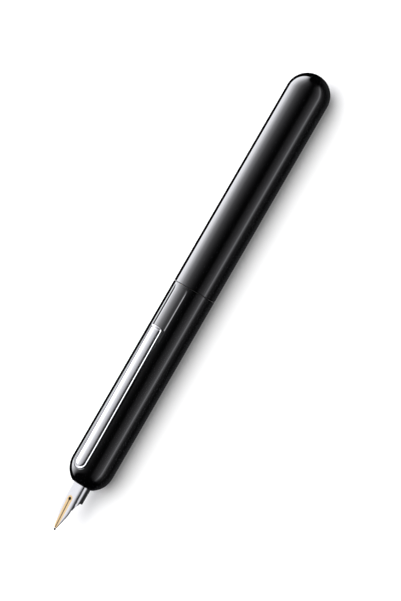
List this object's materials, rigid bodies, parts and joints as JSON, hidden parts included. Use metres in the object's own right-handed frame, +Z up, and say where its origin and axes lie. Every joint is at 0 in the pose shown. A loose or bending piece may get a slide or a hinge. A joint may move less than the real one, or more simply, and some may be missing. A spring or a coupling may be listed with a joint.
{
  "type": "retractable fountain pen",
  "caption": "Capless fountain pen: turning the rear half slides the two-tone nib out through a ball shutter; flush clip and piston converter.",
  "frame": {"origin": "centre of the footprint, on the surface that the pen lies on", "axes": "+X from the nib to the round rear end, +Z up through the clip"},
  "size_m": [0.1554, 0.0136, 0.0143],
  "materials": {
    "black_lacquer": "high gloss black lacquer on metal",
    "bright_silver": "finely polished palladium plate",
    "nib_gold": "polished gold, silver-plated outside the centre band",
    "tip_metal": "ground hard metal",
    "brass": "turned brass",
    "steel": "turned stainless steel",
    "rubber": "matt black rubber",
    "black_plastic": "satin black plastic",
    "clear_plastic": "clear moulded plastic"
  },
  "bodies": {
    "front": {"front_barrel": "black_lacquer", "mouth_seal": "rubber", "shutter_pin_left": "steel", "shutter_pin_right": "steel", "clip_hinge_ring": "brass", "clip_hinge_pin": "steel", "clip_spring": "steel", "guide_tube": "steel", "guide_ring": "brass", "cam_stop_ring": "brass"},
    "shutter": {"shutter": "steel"},
    "clip": {"clip": "bright_silver"},
    "nib_unit": {"nib": "nib_gold", "nib_tip": "tip_metal", "feed": "black_plastic", "nib_sleeve": "bright_silver", "nib_holder": "steel", "follower_pin_left": "steel", "follower_pin_right": "steel", "ink_nipple": "brass", "carriage_tube": "steel", "converter_tube": "clear_plastic", "converter_collar": "bright_silver"},
    "knob": {"converter_knob": "black_plastic"},
    "piston": {"piston": "black_plastic", "piston_seal": "rubber", "piston_rod": "steel"},
    "cam": {"cam_sleeve": "brass", "drive_collar": "brass"},
    "rear": {"rear_barrel": "black_lacquer", "barrel_insert": "brass", "joint_washer": "rubber"}
  },
  "joints": [
    {"name": "barrel_twist", "type": "hinge", "parent": "front", "child": "cam", "pos_m": [0.00405, 0, 0.00684], "axis": [1, 0, 0], "range_deg": [0, 180]},
    {"name": "barrel_pull", "type": "slide", "parent": "cam", "child": "rear", "axis": [1, 0, 0], "range_m": [0, 0.075]},
    {"name": "nib_slide", "type": "slide", "parent": "front", "child": "nib_unit", "axis": [1, 0, 0], "range_m": [0, 0.028]},
    {"name": "shutter_turn", "type": "hinge", "parent": "front", "child": "shutter", "pos_m": [-0.05585, 0, 0.00684], "axis": [0, 1, 0], "range_deg": [0, 103]},
    {"name": "clip_lift", "type": "hinge", "parent": "front", "child": "clip", "pos_m": [-0.04945, 0, 0.01159], "axis": [0, -1, 0], "range_deg": [0, 1.9]},
    {"name": "converter_turn", "type": "hinge", "parent": "nib_unit", "child": "knob", "pos_m": [0.03675, 0, 0.00684], "axis": [1, 0, 0], "range_deg": [0, 1800]},
    {"name": "piston_slide", "type": "slide", "parent": "nib_unit", "child": "piston", "axis": [1, 0, 0], "range_m": [-0.0115, 0]}
  ],
  "couplings": [
    {"joint": "nib_slide", "follows": "barrel_twist", "m_per_rad": 0.0089126},
    {"joint": "shutter_turn", "follows": "barrel_twist", "ratio": 0.57222},
    {"joint": "clip_lift", "follows": "barrel_twist", "ratio": 0.010555},
    {"joint": "converter_turn", "follows": "piston_slide", "rad_per_m": -2731.8}
  ]
}
